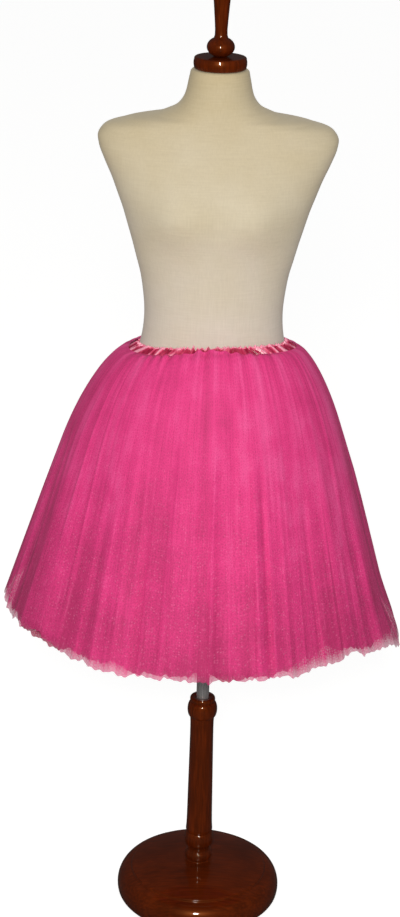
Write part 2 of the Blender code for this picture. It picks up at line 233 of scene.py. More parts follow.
def turned(name, profile, segments=96):
    """A profile (radius, height) carried round the Z axis; rows at radius 0 close to a pole."""
    profile = np.array(profile, float)
    angle = np.arange(segments) * TAU / segments
    x = profile[:, :1] * np.cos(angle)
    y = profile[:, :1] * np.sin(angle)
    item = surface(name, np.stack([x, y, np.broadcast_to(profile[:, 1:], x.shape)], -1))
    merge_points(item.data)
    item.data.set_sharp_from_angle(angle=math.radians(50))
    return item


def merge_points(mesh):
    """Joins points that fall together, so that a row on the axis becomes one point."""
    shape = bmesh.new()
    shape.from_mesh(mesh)
    bmesh.ops.remove_doubles(shape, verts=shape.verts, dist=1e-6)
    shape.to_mesh(mesh)
    shape.free()


# ---- materials ----------------------------------------------------------------------
def linear(code, alpha=1.0):
    """An sRGB hex colour as linear red, green, blue and alpha."""
    parts = [int(code[i:i + 2], 16) / 255 for i in (1, 3, 5)]
    parts = [p / 12.92 if p <= 0.04045 else ((p + 0.055) / 1.055) ** 2.4 for p in parts]
    return (*parts, alpha)


def plug(tree, node, **inputs):
    """Fills a node's inputs: a value is set on the socket itself, and a socket is linked.

    A name has _ for each space; in_0, in_1 and so on is the socket of that number.
    """
    for key, value in inputs.items():
        socket = node.inputs[int(key[3:]) if key.startswith("in_") else key.replace("_", " ")]
        if isinstance(value, bpy.types.NodeSocket):
            tree.links.new(value, socket)
        else:
            socket.default_value = value


def add(tree, kind, settings=None, stops=(), **inputs):
    """Adds a shader node. settings are its properties, stops a ramp's (position, hex colour)
    pairs, and inputs the values or sockets that go to it."""
    node = tree.nodes.new("ShaderNode" + kind)
    for key, value in (settings or {}).items():
        setattr(node, key, value)
    for _ in stops[2:]:
        node.color_ramp.elements.new(0.5)
    for place, (position, code) in enumerate(stops):
        node.color_ramp.elements[place].position = position
        node.color_ramp.elements[place].color = linear(code)
    plug(tree, node, **inputs)
    return node


def new_material(name):
    material = bpy.data.materials.new(name)
    material.use_nodes = True
    tree = material.node_tree
    return material, tree, tree.nodes["Principled BSDF"]


def lay_patterns(tree, tone, patterns):
    """Lays patterns over a tone, each a (socket, weight) pair added by its weight."""
    for pattern, weight in patterns:
        tone = add(tree, "Math", {"operation": "MULTIPLY_ADD"}, in_0=pattern, in_1=weight,
                   in_2=tone).outputs[0]
    return tone


def tulle_material(name, pinks, cover, cut_length):
    """Polyester tulle, a warp-knitted net of very fine yarn: matte, see-through one layer
    at a time and solid where layers and gathers stack up. Painted glints, pale pink dots here
    and there in its colour, stand for filaments that face the light, and painted shade darkens
    it in the valleys of its folds and towards the hem. The real holes are 1 mm across; they are
    drawn 4.5 mm across, so that the grain shows. Grain and painted glints fade towards the band,
    where the gathers pack the net too tightly for its holes to show. cover is the share of the
    surface that is yarn, over the skirt and along its raw edge."""
    hole, filament, painted_glint_gap, cloud_size = 0.0045, 0.0035, 0.0042, 0.06
    fibre_length, drape_width, drape_length, edge = 0.16, 0.06, 0.45, 0.018
    material, tree, shader = new_material(name)
    cloth = add(tree, "UVMap", {"uv_map": "Cloth"}).outputs["UV"]
    down = add(tree, "SeparateXYZ", Vector=cloth).outputs["Y"]
    loose = add(tree, "MapRange", Value=down, From_Min=0.06, From_Max=0.36, To_Min=0.30,
                To_Max=1.0).outputs["Result"]
    net = add(tree, "TexVoronoi", {"feature": "DISTANCE_TO_EDGE", "voronoi_dimensions": "2D"},
              Vector=cloth, Scale=1 / hole).outputs["Distance"]
    yarn = add(tree, "MapRange", Value=net, From_Min=0.05, From_Max=0.35, To_Min=1.0,
               To_Max=0.0).outputs["Result"]
    stretch = add(tree, "Mapping", Vector=cloth, Scale=(1 / hole, 1 / fibre_length, 1))
    fibre = add(tree, "TexNoise", {"noise_dimensions": "2D"}, Vector=stretch.outputs["Vector"],
                Scale=1.0, Detail=3.0, Roughness=0.65).outputs["Fac"]
    drape = add(tree, "Mapping", Vector=cloth, Scale=(1 / drape_width, 1 / drape_length, 1))
    wide = add(tree, "TexNoise", {"noise_dimensions": "2D"}, Vector=drape.outputs["Vector"],
               Scale=1.0, Detail=2.0).outputs["Fac"]
    cloud = add(tree, "TexNoise", {"noise_dimensions": "2D"}, Vector=cloth,
                Scale=1 / cloud_size, Detail=3.0, Roughness=0.6).outputs["Fac"]
    grain = add(tree, "TexNoise", {"noise_dimensions": "2D"}, Vector=cloth, Scale=1 / filament,
                Detail=2.0, Roughness=0.7).outputs["Fac"]
    grain = add(tree, "Mix", {"data_type": "FLOAT"}, in_0=loose, in_2=0.5,
                in_3=grain).outputs[0]

    # tone: painted fold shade, threads, drape, cloudiness and grain, and painted shade that darkens
    # it towards the hem
    fold_shade = add(tree, "Attribute", {"attribute_name": "FoldShade"}).outputs["Fac"]
    # painted shade: darker in the valleys of the folds, lighter on their crests
    tone = add(tree, "Math", {"operation": "MULTIPLY"}, in_0=fold_shade, in_1=0.09).outputs[0]
    tone = lay_patterns(tree, tone, [(fibre, 0.13), (wide, 0.60), (cloud, 0.38), (grain, 0.48),
                              (yarn, 0.04)])
    # painted shade: the tone grows darker towards the hem
    painted_hem_shade = add(tree, "MapRange", Value=down, From_Min=0.18, From_Max=cut_length, To_Min=0.0,
               To_Max=0.26).outputs["Result"]
    tone = add(tree, "Math", {"operation": "SUBTRACT"}, in_0=tone, in_1=painted_hem_shade).outputs[0]
    tone = add(tree, "MapRange", Value=tone, From_Min=0.50, From_Max=1.22).outputs["Result"]
    colour = add(tree, "ValToRGB", Fac=tone, stops=list(zip((0.0, 0.5, 1.0), pinks)))

    # painted glints: a pale pink highlight painted at one dot in each cell of a fine net,
    # bright in a third of them, and along the straightest threads
    dot = add(tree, "TexVoronoi", {"voronoi_dimensions": "2D"}, Vector=cloth,
              Scale=1 / painted_glint_gap)
    near = add(tree, "MapRange", Value=dot.outputs["Distance"], From_Min=0.10, From_Max=0.45,
               To_Min=1.0, To_Max=0.0).outputs["Result"]
    pick = add(tree, "SeparateColor", Color=dot.outputs["Color"]).outputs["Red"]
    painted_glint_strength = add(tree, "MapRange", Value=pick, From_Min=0.66, From_Max=1.0, To_Min=0.0,
              To_Max=0.26).outputs["Result"]
    painted_thread_glint = add(tree, "MapRange", Value=fibre, From_Min=0.64, From_Max=0.80, To_Min=0.0,
                 To_Max=0.12).outputs["Result"]
    painted_glint = lay_patterns(tree, painted_thread_glint, [(near, painted_glint_strength)])
    painted_glint = add(tree, "Math", {"operation": "MULTIPLY"}, in_0=painted_glint, in_1=loose).outputs[0]
    # painted highlight: the glints mix the colour towards pale pink
    bright = add(tree, "Mix", {"data_type": "RGBA"}, in_0=painted_glint, in_6=colour.outputs["Color"],
                 in_7=linear("#ff9fc8"))

    # how much of the surface is yarn: less along the raw edge, more where threads lie close
    solid = add(tree, "MapRange", Value=down, From_Min=cut_length - edge, From_Max=cut_length,
                To_Min=cover[0], To_Max=cover[1]).outputs["Result"]
    solid = lay_patterns(tree, solid, [(yarn, 0.12), (fibre, 0.30)])
    alpha = add(tree, "Math", {"operation": "SUBTRACT", "use_clamp": True}, in_0=solid,
                in_1=0.20)
    plug(tree, shader, Base_Color=bright.outputs[2], Alpha=alpha.outputs[0], Roughness=0.72,
         IOR=1.50, Specular_IOR_Level=0.25, Sheen_Weight=0.04, Sheen_Roughness=0.45,
         Sheen_Tint=linear("#ffb3d2"))
    return material


def satin_material():
    """Polyester satin, woven with long floats 0.9 mm apart: a soft gloss that runs across
    its gathers. Its colour holds painted shade and painted highlight: deep red-pink in the folds
    and pale pink on the crests that face the light, read from the band's fold shade and broken
    up by slanting crush marks of about 10 mm."""
    float_gap, float_length = 0.0009, 0.012
    material, tree, shader = new_material("Hot pink polyester satin")
    cloth = add(tree, "UVMap", {"uv_map": "Cloth"}).outputs["UV"]
    float_map = add(tree, "Mapping", Vector=cloth, Scale=(1 / float_gap, 1 / float_length, 1))
    floats = add(tree, "TexNoise", {"noise_dimensions": "2D"},
                 Vector=float_map.outputs["Vector"], Scale=1.0, Detail=2.0).outputs["Fac"]
    crush_map = add(tree, "Mapping", Vector=cloth, Rotation=(0, 0, math.radians(25)),
                    Scale=(1 / 0.013, 1 / 0.009, 1))
    crush = add(tree, "TexNoise", {"noise_dimensions": "2D"},
                Vector=crush_map.outputs["Vector"], Scale=1.0, Detail=2.0).outputs["Fac"]
    fold_shade = add(tree, "Attribute", {"attribute_name": "FoldShade"}).outputs["Fac"]
    tone = lay_patterns(tree, fold_shade, [(floats, 0.25), (crush, 0.90)])
    tone = add(tree, "MapRange", Value=tone, From_Min=0.60, From_Max=1.40)
    # painted shade in the folds and painted highlight on the crests
    colour = add(tree, "ValToRGB", Fac=tone.outputs["Result"],
                 stops=[(0.0, "#8a1236"), (0.38, "#bb2852"), (0.68, "#df5079"),
                        (1.0, "#ffa6c1")])
    rough = add(tree, "MapRange", Value=floats, From_Min=0.3, From_Max=0.7, To_Min=0.24,
                To_Max=0.36)
    relief = add(tree, "Bump", Strength=0.25, Distance=0.0003, Height=floats)
    plug(tree, shader, Base_Color=colour.outputs["Color"], Roughness=rough.outputs["Result"],
         Normal=relief.outputs["Normal"], IOR=1.55, Specular_IOR_Level=0.5, Anisotropic=0.5,
         Sheen_Weight=0.12, Sheen_Roughness=0.3, Sheen_Tint=linear("#ff9fbb"))
    return material


def linen_material():
    """Cotton-linen jersey stretched over the form: matte ivory, a fine even weave of 1 mm,
    drawn 2.2 mm so that it shows, with a faint cloudiness from handling, and painted shade:
    a darker, warmer tone towards the neck."""
    thread, slub_length, cloud_size = 0.0022, 0.030, 0.09
    material, tree, shader = new_material("Ivory linen cover")
    place = add(tree, "TexCoord").outputs["Object"]
    slub_map = add(tree, "Mapping", Vector=place,
                   Scale=(1 / slub_length, 1 / slub_length, 1 / thread))
    slub = add(tree, "TexNoise", Vector=slub_map.outputs["Vector"], Scale=1.0, Detail=2.0)
    cross_map = add(tree, "Mapping", Vector=place,
                    Scale=(1 / thread, 1 / thread, 1 / slub_length))
    cross = add(tree, "TexNoise", Vector=cross_map.outputs["Vector"], Scale=1.0, Detail=2.0)
    weave = add(tree, "Math", {"operation": "ADD"}, in_0=slub.outputs["Fac"],
                in_1=cross.outputs["Fac"]).outputs[0]
    shade = add(tree, "MapRange", Value=weave, From_Min=0.7, From_Max=1.3).outputs["Result"]
    tint = add(tree, "ValToRGB", Fac=shade, stops=[(0.0, "#c9c4bb"), (1.0, "#ffffff")])

    cloud = add(tree, "TexNoise", Vector=place, Scale=1 / cloud_size, Detail=3.0).outputs["Fac"]
    height = add(tree, "SeparateXYZ", Vector=place).outputs["Z"]
    # painted shade: darker and warmer towards the neck
    painted_neck_shade = add(tree, "MapRange", Value=height, From_Min=1.10, From_Max=1.60, To_Min=0.25,
               To_Max=1.25).outputs["Result"]
    base = add(tree, "ValToRGB", Fac=lay_patterns(tree, painted_neck_shade, [(cloud, -0.5)]),
               stops=[(0.0, "#dad2c5"), (0.45, "#d3c9b1"), (1.0, "#c5b692")])
    colour = add(tree, "Mix", {"data_type": "RGBA", "blend_type": "MULTIPLY"}, in_0=0.18,
                 in_6=base.outputs["Color"], in_7=tint.outputs["Color"])
    relief = add(tree, "Bump", Strength=0.10, Distance=0.0005, Height=weave)
    plug(tree, shader, Base_Color=colour.outputs[2], Normal=relief.outputs["Normal"],
         Roughness=0.88, IOR=1.50, Specular_IOR_Level=0.25, Sheen_Weight=0.15,
         Sheen_Roughness=0.5)
    return material


def lacquer_material(name, grain_axis):
    """Stained hardwood turned on a lathe under clear lacquer: near-black red-brown with
    long grain 4 mm apart, a wet gloss over a warm glow from inside the stained wood, and
    faint unevenness in the lacquer. The grain runs along the axis that is named."""
    grain_gap, grain_length, patch_size, peel = 0.0040, 0.060, 0.07, 0.012
    material, tree, shader = new_material(name)
    place = add(tree, "TexCoord").outputs["Object"]
    spacing = [grain_length if axis == grain_axis else grain_gap for axis in "xyz"]
    grain_map = add(tree, "Mapping", Vector=place, Scale=[1 / gap for gap in spacing])
    grain = add(tree, "TexNoise", Vector=grain_map.outputs["Vector"], Scale=1.0, Detail=5.0,
                Roughness=0.6, Distortion=0.4).outputs["Fac"]
    patch = add(tree, "TexNoise", Vector=place, Scale=1 / patch_size,
                Detail=2.0).outputs["Fac"]
    tone = add(tree, "MapRange", Value=lay_patterns(tree, grain, [(patch, 0.5)]), From_Min=0.45,
               From_Max=1.05)
    colour = add(tree, "ValToRGB", Fac=tone.outputs["Result"],
                 stops=[(0.0, "#3a1202"), (0.5, "#511a02"), (1.0, "#6b2605")])
    orange_peel = add(tree, "TexNoise", Vector=place, Scale=1 / peel, Detail=1.0)
    relief = add(tree, "Bump", Strength=0.05, Distance=0.0006,
                 Height=orange_peel.outputs["Fac"])
    plug(tree, shader, Base_Color=colour.outputs["Color"], Coat_Normal=relief.outputs["Normal"],
         Roughness=0.36, IOR=1.50, Specular_IOR_Level=0.35, Specular_Tint=linear("#ff9a50"),
         Coat_Weight=1.0, Coat_Roughness=0.05, Coat_IOR=1.45)
    return material


def chrome_material():
    """Satin-chromed steel tube: hazy silver, with fine marks from sliding in its collar."""
    mark_gap, mark_length = 0.0012, 0.09
    material, tree, shader = new_material("Chrome-plated steel")
    place = add(tree, "TexCoord").outputs["Object"]
    marks_map = add(tree, "Mapping", Vector=place,
                    Scale=(1 / mark_gap, 1 / mark_gap, 1 / mark_length))
    marks = add(tree, "TexNoise", Vector=marks_map.outputs["Vector"], Scale=1.0,
                Detail=2.0).outputs["Fac"]
    rough = add(tree, "MapRange", Value=marks, From_Min=0.35, From_Max=0.75, To_Min=0.22,
                To_Max=0.38)
    colour = add(tree, "ValToRGB", Fac=marks, stops=[(0.3, "#c4c6c8"), (0.7, "#e4e5e7")])
    plug(tree, shader, Base_Color=colour.outputs["Color"], Roughness=rough.outputs["Result"],
         Metallic=0.7)
    return material


# ---- dress form ---------------------------------------------------------------------
def make_form():
    """The sections of the table, each a flattened oval: x = a cos t, y = b |sin t|^f, with
    a soft rise on each side of the chest, joined by a smooth curve from row to row."""
    rows = spline(FORM_SECTIONS, 320)
    height, half, front, back, flatness = rows.T[:, :, None]
    angle = np.arange(192) * TAU / 192
    rise = np.abs(np.sin(angle)) ** flatness
    facing = np.sin(angle) < 0
    x = half * np.cos(angle)
    across = (np.abs(x) - CHEST["side"]) / CHEST["spread_x"]
    along = (height - CHEST["height"]) / CHEST["spread_z"]
    full = front + CHEST["rise"] * np.exp(-across**2 - along**2)
    y = np.where(facing, -full * rise, back * rise)
    points = np.stack([x, y, np.broadcast_to(height, x.shape)], -1)
    return close_form(points, angle)


def close_form(points, angle):
    """Adds the flat neck top, the flat underside and the round socket for the pole."""
    top, bottom = points[0, 0, 2], points[-1, 0, 2]
    socket = POLE_RADIUS + SWIVEL_CLEARANCE
    circle = np.stack([socket * np.cos(angle), socket * np.sin(angle), angle * 0], -1)[None]
    middle = circle * 0
    ceiling = POLE_TOP + SWIVEL_CLEARANCE
    rows = [middle + [0, 0, top], points, points[-1:] * [0.97, 0.97, 1],
            circle * 1.08 + [0, 0, bottom], circle + [0, 0, bottom + 0.001],
            circle + [0, 0, ceiling], middle + [0, 0, ceiling]]
    item = surface("linen_form", np.concatenate(rows))
    merge_points(item.data)
    item.data.set_sharp_from_angle(angle=math.radians(60))
    return item


# ---- turned wood and steel ----------------------------------------------------------
def make_base():
    """Dome, stepped ring and rounded rim, turned as one disc."""
    ring, ring_height, rim_centre = 0.1280, 0.0515, 0.0180
    edge, edge_height = 0.1245, 0.0560
    t = np.linspace(0, 1, 40)
    dome = np.stack([0.0140 + (edge - 0.0140) * t,
                     DOME_TOP - (DOME_TOP - edge_height) * t**2.2], 1)
    step = spline([(edge, edge_height), (edge + 0.0014, edge_height - 0.0007),
                   (ring - 0.0012, ring_height + 0.0016),
                   (ring - 0.0006, ring_height + 0.0002)], 12)
    hollow = spline([(ring - 0.0004, ring_height - 0.0003),
                     (ring + 0.0010, ring_height - 0.0009),
                     (ring + 0.0030, ring_height - 0.0014)], 6)
    rim_radii = (BASE_RADIUS - ring, ring_height - rim_centre - 0.0015)
    rim = arc((ring, rim_centre), rim_radii, 80, 0, 28)
    foot = spline([(BASE_RADIUS - 0.0002, 0.0130), (BASE_RADIUS - 0.0022, 0.0050),
                   (BASE_RADIUS - 0.0052, 0.0010), (BASE_RADIUS - 0.0085, 0.0)], 12)
    profile = np.concatenate([[(0, DOME_TOP)], dome, step[1:], hollow, rim, foot, [(0, 0)]])
    return turned("turned_base", profile, 160)


def make_column():
    """Lip, top bead, tapered shaft, two lower beads and foot, round the pole's bore."""
    bore = POLE_RADIUS + 0.0004
    lip, lip_bottom = 0.0233, 0.4050
    shaft_top, shaft_top_radius = 0.3725, 0.0212
    shaft_bottom, shaft_bottom_radius = 0.1340, 0.0240
    middle, half = (lip_bottom + shaft_top) / 2, (lip_bottom - shaft_top) / 2
    mouth = [(0, 0.0750), (bore, 0.0750), (bore, COLUMN_TOP - 0.001), (bore + 0.001, COLUMN_TOP)]
    lip_edge = arc((lip - 0.0030, COLUMN_TOP - 0.0045), (0.0030, 0.0045), 88, -50, 14)
    bead = arc((shaft_top_radius - 0.0005, middle), (0.0068, half - 0.0002), 78, -78, 24)
    t = np.linspace(0, 1, 24)
    fillet = np.exp(-t * 24) + np.exp((t - 1) * 24)
    taper = shaft_top_radius + (shaft_bottom_radius - shaft_top_radius) * t
    shaft_height = shaft_top - 0.0010 + (shaft_bottom - shaft_top + 0.0020) * t
    shaft = np.stack([taper + 0.0010 * fillet, shaft_height], 1)
    lower = arc((0.0222, 0.1155), (0.0048, 0.0150), 74, -74, 24)
    neck = arc((0.0226, 0.0946), (0.0022, 0.0058), 120, 240, 12)
    second = arc((0.0212, 0.0800), (0.0046, 0.0092), 70, -58, 20)
    foot = arc((0.0262, 0.0722), (0.0022, 0.0018), 160, 262, 6)
    profile = np.concatenate([mouth, lip_edge, bead, shaft, lower, neck, second, foot,
                              [(0, foot[-1, 1])]])
    return turned("turned_column", profile, 128)


def make_pole():
    """A tube with rounded ends, turned as one closed profile."""
    wall, round_edge = 0.0020, 0.0004
    inner = POLE_RADIUS - wall
    top = [(inner, POLE_TOP - round_edge), (inner + round_edge, POLE_TOP),
           (POLE_RADIUS - round_edge, POLE_TOP), (POLE_RADIUS, POLE_TOP - round_edge)]
    side = [(POLE_RADIUS, z) for z in np.linspace(POLE_TOP - 0.02, POLE_BOTTOM + 0.02, 24)]
    end = [(POLE_RADIUS, POLE_BOTTOM + round_edge), (POLE_RADIUS - round_edge, POLE_BOTTOM),
           (inner + round_edge, POLE_BOTTOM), (inner, POLE_BOTTOM + round_edge),
           (inner, POLE_TOP - round_edge)]
    return turned("steel_pole", top + side + end, 96)


def make_cap():
    """A disc with a softly rounded edge and a slightly bulging side."""
    edge = 0.0036
    radius = CAP_RADIUS - 0.0008
    side = arc((radius - 0.0012, (CAP_TOP + CAP_BOTTOM) / 2),
               (0.0020, (CAP_TOP - CAP_BOTTOM) / 2 - edge * 0.8), 60, -60, 14)
    top = arc((radius - edge, CAP_TOP - edge), (edge, edge), 90, 18, 10)
    bottom = arc((radius - edge, CAP_BOTTOM + edge), (edge, edge), -18, -90, 10)
    crown = [(0, CAP_TOP), (radius * 0.5, CAP_TOP - 0.0001)]
    profile = np.concatenate([crown, top, side, bottom, [(0, CAP_BOTTOM)]])
    return turned("turned_neck_cap", profile, 128)


def make_finial():
    """Squashed ball, and a stem that flares a little at its foot and swells upwards."""
    half = 0.0172
    seat = 0.0105
    start = math.degrees(math.acos(seat / BALL_RADIUS))
    centre = FINIAL_BOTTOM + half * math.sin(math.radians(start))
    tip = arc((0, 1.7000), (0.0155, FINIAL_TOP - 1.7000), 90, 0, 20)
    stem = spline([(0.0154, 1.6960), (0.0139, 1.6840), (0.0122, 1.6640), (0.0108, 1.6450),
                   (0.0103, 1.6330), (0.0106, 1.6275)], 36)
    ball = arc((0, centre), (BALL_RADIUS, half), start - 4, -start, 40)
    profile = np.concatenate([tip, stem, ball, [(0, FINIAL_BOTTOM)]])
    return turned("turned_finial", profile, 96)


# ---- tutu ---------------------------------------------------------------------------
def waist_oval(angles):
    """The form's section under the band, and the outward direction at each of its points."""
    deep = np.where(np.sin(angles) < 0, WAIST_FRONT, WAIST_BACK)
    points = np.stack([WAIST_HALF * np.cos(angles), deep * np.sin(angles)], -1)
    outward = np.stack([np.cos(angles) / WAIST_HALF, np.sin(angles) / deep], -1)
    return points, outward / np.linalg.norm(outward, axis=-1, keepdims=True)


def lay_out(angles, offset, height, sideways=0.0):
    """Points at an offset from the waist oval, moved sideways along it, at a height."""
    points, outward = waist_oval(angles)
    along = np.stack([-outward[..., 1], outward[..., 0]], -1)
    offset, sideways = np.asarray(offset)[..., None], np.asarray(sideways)[..., None]
    plan = points + outward * offset + along * sideways
    return np.concatenate([plan, np.broadcast_to(height, angles.shape)[..., None]], -1)


def band_line(angles, share):
    """Offset and height on the band's outer face, share 0 at its top edge and 1 below."""
    height = BAND_TOP["mean"] + BAND_TOP["right"] * np.cos(angles)
    height = height - BAND_TOP["front"] * np.sin(angles) + BAND_TOP["sides"] * np.cos(2 * angles)
    height = height - BAND_TOP["dip"] * bump_at(angles, BAND_TOP["dip_at"], BAND_TOP["dip_width"])
    offset = BAND_STAND_OFF + BAND_WIDTH * math.cos(BAND_SLOPE) * share
    return offset, height - BAND_WIDTH * math.sin(BAND_SLOPE) * share


def uneven(angles, terms):
    """A sum of sines round the circle from (count, depth, phase) rows."""
    return sum(depth * np.sin(count * angles + phase) for count, depth, phase in terms)


def soft_noise(angles, low_count, high_count, seed):
    """A smooth uneven wave round the circle: sines of every count from low to high, each
    with its own phase, scaled to run from about -1 to 1."""
    draw = np.random.default_rng(seed)
    counts = np.arange(low_count, high_count + 1)
    phases = draw.uniform(0, TAU, counts.size)
    sizes = draw.uniform(0.6, 1.4, counts.size)
    total = sum(size * np.sin(count * angles + phase)
                for count, phase, size in zip(counts, phases, sizes))
    return total * 1.15 / math.sqrt(counts.size)


# Where the satin puffs up and carries a painted highlight: angle from the front and width
# in degrees, and size
BAND_PUFFS = [
    (-76, 2.0, 0.7), (-64, 3.4, 1.0), (-49, 1.5, 0.5), (-43, 1.6, 0.8), (-28, 2.6, 0.8),
    (-17, 1.5, 0.6), (-4, 1.6, 0.4), (9, 2.0, 0.5), (25, 1.4, 0.5), (40, 3.6, 1.0),
    (51, 1.3, 0.6), (61, 2.6, 1.0), (79, 2.0, 0.8), (101, 2.8, 0.9), (118, 1.6, 0.6),
    (131, 3.0, 0.9), (150, 1.8, 0.7), (166, 2.4, 0.9), (181, 1.5, 0.6), (198, 3.0, 0.8),
    (214, 1.6, 0.7), (233, 2.6, 0.9), (249, 1.6, 0.6), (266, 2.8, 0.8), (279, 1.6, 0.7),
]


def make_band():
    """A flat casing round its elastic, a superellipse (|cos t|^0.7, |sin t|^0.8) in section,
    with uneven slanting gathers on its outer face and a thin frilled heading along its
    top edge."""
    columns, loop = 1536, 48
    gather_height, frill_height, edge_reach = 0.0019, 0.0014, 0.0010
    turn = np.arange(loop) / loop * TAU
    angle, turn = np.meshgrid(np.arange(columns) * TAU / columns, turn)
    along = -np.sign(np.cos(turn)) * np.abs(np.cos(turn)) ** 0.7
    across = np.sign(np.sin(turn)) * np.abs(np.sin(turn)) ** 0.8
    share = (along + 1) / 2
    heading = smooth((0.24 - share) / 0.18)
    slant = 0.07 * np.sin(9 * angle + 1.0) - 0.17 * np.cos(angle)
    swept = angle + slant * (share - 0.5)
    broad = soft_noise(swept, 18, 44, 41)
    narrow = soft_noise(swept, 50, 110, 42)
    puff = sum(size * bump_at(swept, FRONT + place, width) for place, width, size in BAND_PUFFS)
    gather = (0.9 - 1.7 * np.abs(broad) ** 0.75) * 0.8 + 0.40 * narrow + 0.9 * puff
    outer = smooth(across + 0.2)
    swell = np.sin(math.pi * np.clip(share, 0, 1)) ** 0.5
    lift = gather_height * gather * outer * (0.30 + 0.70 * swell)
    frill = frill_height * soft_noise(angle, 60, 130, 43) * heading
    half = BAND_HALF_THICKNESS * (1 - 0.55 * heading)
    offset, height = band_line(angle, 0.02 + 0.96 * share)
    hug = (0.0022 + 0.0012 * bump_at(angle, 90, 60)) * (1 - share) ** 1.5
    out = lift + frill - BAND_HALF_THICKNESS + across * half
    reach = edge_reach * (gather + narrow) * (heading - 0.5 * smooth((share - 0.8) / 0.2))
    offset = offset - hug + out * math.sin(BAND_SLOPE) - reach * math.cos(BAND_SLOPE)
    height = height + out * math.cos(BAND_SLOPE) + reach * math.sin(BAND_SLOPE)
    u = np.linspace(0, BAND_CUT[0], columns + 1)
    v = np.linspace(0, 2 * BAND_CUT[1], loop)
    # painted shade and painted highlight: the fold shade is deep red-pink in the valleys and pale
    # pink on the puffs, the gathers' crests and the heading
    return surface("satin_waistband", lay_out(angle, offset, height)[::-1],
                   np.stack(np.meshgrid(u, v), -1), wrap_rows=True,
                   fold_shade=(0.30 + 0.14 * gather * outer + 0.62 * puff * outer + 0.42 * heading)[::-1])


# Folds of the outer layer that show most: angle from the front (degrees, + to the right),
# width in degrees, depth in metres (+ ridge, - trough), and where along the drop, 0 to 1,
# each starts and ends.
MAIN_FOLDS = [
    (-58, 3.0, 0.0050, 0.30, 1.00),
    (-44, 2.6, -0.0060, 0.35, 1.00),
    (-33, 2.2, 0.0045, 0.20, 1.00),
    (-24, 2.4, -0.0065, 0.45, 1.00),
    (-13, 1.8, 0.0050, 0.10, 0.90),
    (-4, 2.2, -0.0045, 0.30, 0.95),
    (3, 1.5, 0.0045, 0.15, 1.00),
    (11, 2.0, -0.0040, 0.05, 0.60),
    (20, 1.4, 0.0070, 0.20, 1.00),
    (23, 1.6, -0.0070, 0.25, 1.00),
    (34, 2.2, 0.0045, 0.25, 1.00),
    (43, 2.0, -0.0055, 0.30, 1.00),
    (55, 2.4, 0.0060, 0.25, 1.00),
    (66, 2.6, -0.0065, 0.40, 1.00),
    (98, 3.0, 0.0055, 0.25, 1.00),
    (112, 2.6, -0.0060, 0.30, 1.00),
    (127, 2.0, 0.0050, 0.15, 1.00),
    (139, 2.4, -0.0060, 0.40, 1.00),
    (156, 2.0, 0.0055, 0.20, 1.00),
    (169, 2.2, -0.0050, 0.30, 1.00),
    (183, 1.8, 0.0060, 0.15, 1.00),
    (196, 2.4, -0.0060, 0.35, 1.00),
    (212, 2.2, 0.0050, 0.20, 1.00),
    (228, 2.4, -0.0055, 0.35, 1.00),
    (243, 2.0, 0.0055, 0.20, 1.00),
    (262, 2.8, -0.0060, 0.40, 1.00),
    (278, 2.4, 0.0055, 0.25, 1.00),
]


def main_folds(angles, share):
    """The placed folds: each a soft bump round the circle that fades in and out."""
    total = 0
    for angle, width, depth, start, end in MAIN_FOLDS:
        fade = smooth((share - start) / 0.25) * smooth((end + 0.06 - share) / 0.12)
        total = total + depth * fade * bump_at(angles, FRONT + angle, width)
    return total


# Where the hem hangs longer (+) or shorter (-): angle from the front and width in degrees,
# and length in metres
OUTER_HEM = [
    (-84, 8, -0.010), (-72, 6, -0.010), (-61, 6, -0.018), (-43, 4, 0.004), (-36, 4, 0.007),
    (-27, 5, 0.007), (-12, 6, -0.001), (3, 4, -0.001), (13, 4, -0.002), (23, 5, 0.001),
    (35, 4, 0.007), (46, 3, 0.002), (57, 3, -0.007), (66, 3, 0.002), (86, 7, 0.024),
    (104, 5, -0.006), (121, 4, 0.006), (143, 5, -0.005), (160, 3, 0.007), (178, 6, -0.005),
    (199, 3, 0.007), (221, 5, -0.006), (240, 4, 0.006), (262, 4, -0.004),
]
INNER_HEM = [
    (-70, 6, -0.008), (-50, 5, 0.004), (-24, 3, -0.009), (7, 6, -0.010), (16, 3, 0.004),
    (30, 8, 0.002), (44, 4, -0.012), (58, 9, -0.022), (90, 12, -0.010), (130, 8, -0.008),
    (165, 6, 0.003), (200, 8, -0.012), (235, 6, 0.002), (262, 7, -0.010),
]


def hem_length(angles, rows):
    """How much longer the hem hangs: the placed rows, and a fine uneven edge."""
    placed = sum(length * bump_at(angles, FRONT + angle, width) for angle, width, length in rows)
    return placed + uneven(angles, [(23, 0.0016, 0.3), (37, 0.0014, 1.9), (61, 0.0012, 0.8),
                                    (103, 0.0010, 2.2), (151, 0.0009, 1.1)])


def skirt_line(angles, drop):
    """Offset and height of the outermost tulle at a drop below the band: a quarter ellipse
    that springs out, then a straight slope that differs round the waist. A drop below 0
    lies on the band's own slope."""
    start_offset, start_height = band_line(angles, 1.0)
    rest = 1 - np.clip(drop / SHOULDER_DOWN, 0, 1)
    fallen = np.maximum(drop, 0)
    offset = start_offset + around("shoulder", angles) * np.sqrt(1 - rest**2)
    offset = offset + around("slope", angles) * fallen
    offset = offset + np.minimum(drop, 0) / math.tan(BAND_SLOPE)
    grown = smooth((drop - HEM_CORNER["start"]) / (HEM_CORNER["end"] - HEM_CORNER["start"]))
    corner = HEM_CORNER["out"] * bump_at(angles, HEM_CORNER["at"], HEM_CORNER["width"])
    return offset + corner * grown, start_height - drop


def blend_down(angles, share, at_top, at_hem):
    """One uneven wave at the waist that turns into another at the hem, so that folds run
    down the cloth, and merge and part on the way. Each is (low count, high count, seed)."""
    part = smooth(share)
    return soft_noise(angles, *at_top) * (1 - part) + soft_noise(angles, *at_hem) * part


